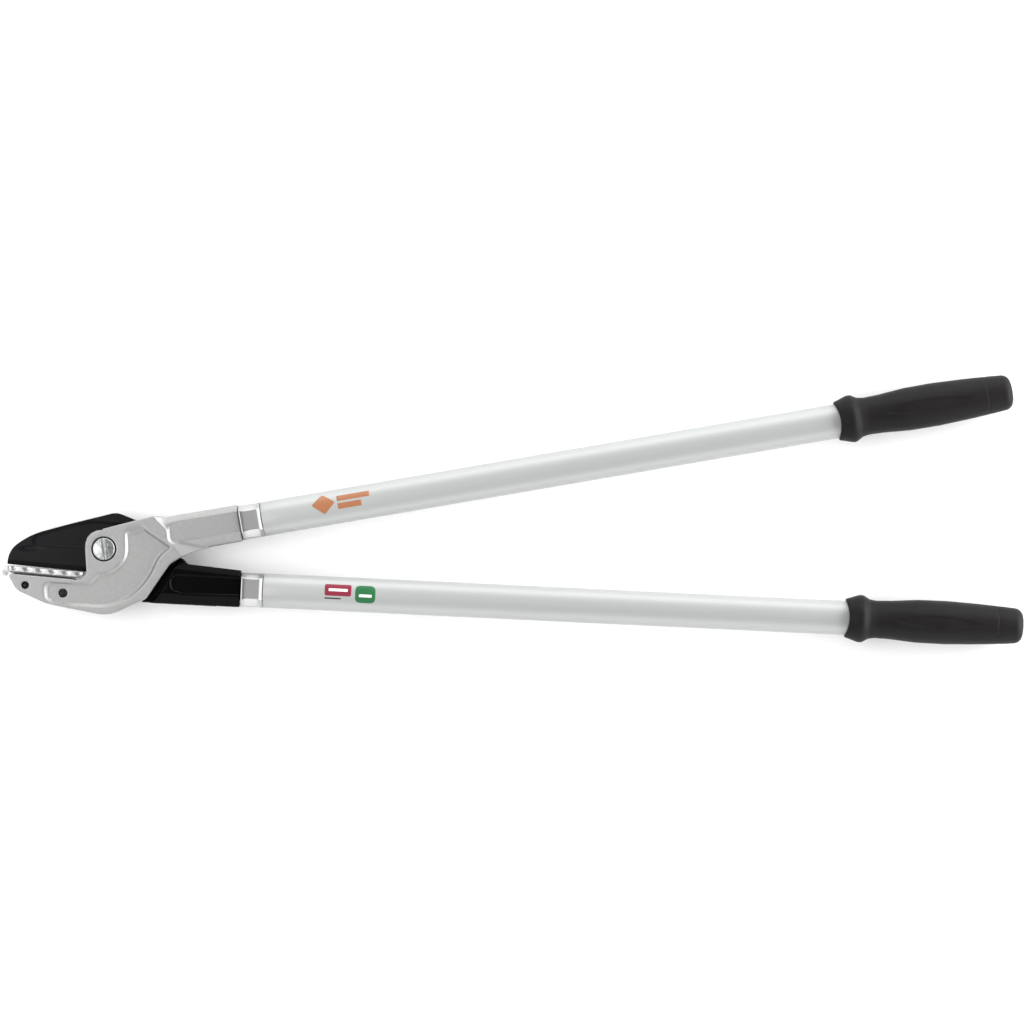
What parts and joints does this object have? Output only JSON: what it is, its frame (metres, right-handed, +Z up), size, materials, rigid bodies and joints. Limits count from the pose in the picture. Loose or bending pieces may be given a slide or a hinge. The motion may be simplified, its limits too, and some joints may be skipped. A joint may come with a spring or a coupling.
{
  "type": "anvil loppers",
  "caption": "Two-handed anvil loppers: a coated blade closes on a grooved metal anvil, with forged levers, long oval tube handles and soft guarded grips.",
  "frame": {"origin": "the flat end of the pivot bolt, on the pivot axis, at the level of the ground that the closed loppers lie on", "axes": "+X from the pivot midway between the handles towards the grips, +Y towards the anvil lever's handle, +Z up along the pivot axis through the bolt's head"},
  "size_m": [0.803, 0.2116, 0.0375],
  "materials": {
    "forged_aluminium": "forged and blasted, satin",
    "anvil_metal": "cast and machined, bright",
    "bare_aluminium": "bare, brushed",
    "zinc_steel": "zinc plated",
    "blackened_steel": "black phosphate",
    "bronze": "sintered bronze",
    "blade_coating": "black non-stick coating",
    "black_lacquer": "black satin lacquer",
    "silver_lacquer": "silver-white lacquer",
    "soft_plastic": "soft matt",
    "nylon": "moulded nylon"
  },
  "bodies": {
    "anvil_side": {"anvil_lever": "forged_aluminium", "anvil_plate": "anvil_metal", "anvil_pin_front": "blackened_steel", "anvil_pin_rear": "blackened_steel", "pivot_bush": "bronze", "thrust_washer": "nylon", "upper_ferrule": "bare_aluminium", "upper_tang_pin": "zinc_steel", "upper_tube": "silver_lacquer", "upper_tube_rivet_1": "bare_aluminium", "upper_tube_rivet_2": "bare_aluminium", "upper_grip": "soft_plastic", "upper_grip_cap": "soft_plastic"},
    "blade_side": {"blade": "blade_coating", "blade_lever": "black_lacquer", "blade_rivet_1": "zinc_steel", "blade_rivet_2": "zinc_steel", "pivot_bolt": "zinc_steel", "spring_washer": "zinc_steel", "pivot_nut": "zinc_steel", "lower_ferrule": "bare_aluminium", "lower_tang_pin": "zinc_steel", "lower_tube": "silver_lacquer", "lower_tube_rivet_1": "bare_aluminium", "lower_tube_rivet_2": "bare_aluminium", "lower_grip": "soft_plastic", "lower_grip_cap": "soft_plastic"}
  },
  "joints": [
    {"name": "blade_pivot", "type": "hinge", "parent": "anvil_side", "child": "blade_side", "pos_m": [0, 0, 0.01875], "axis": [0, 0, -1], "range_deg": [0, 55]}
  ]
}
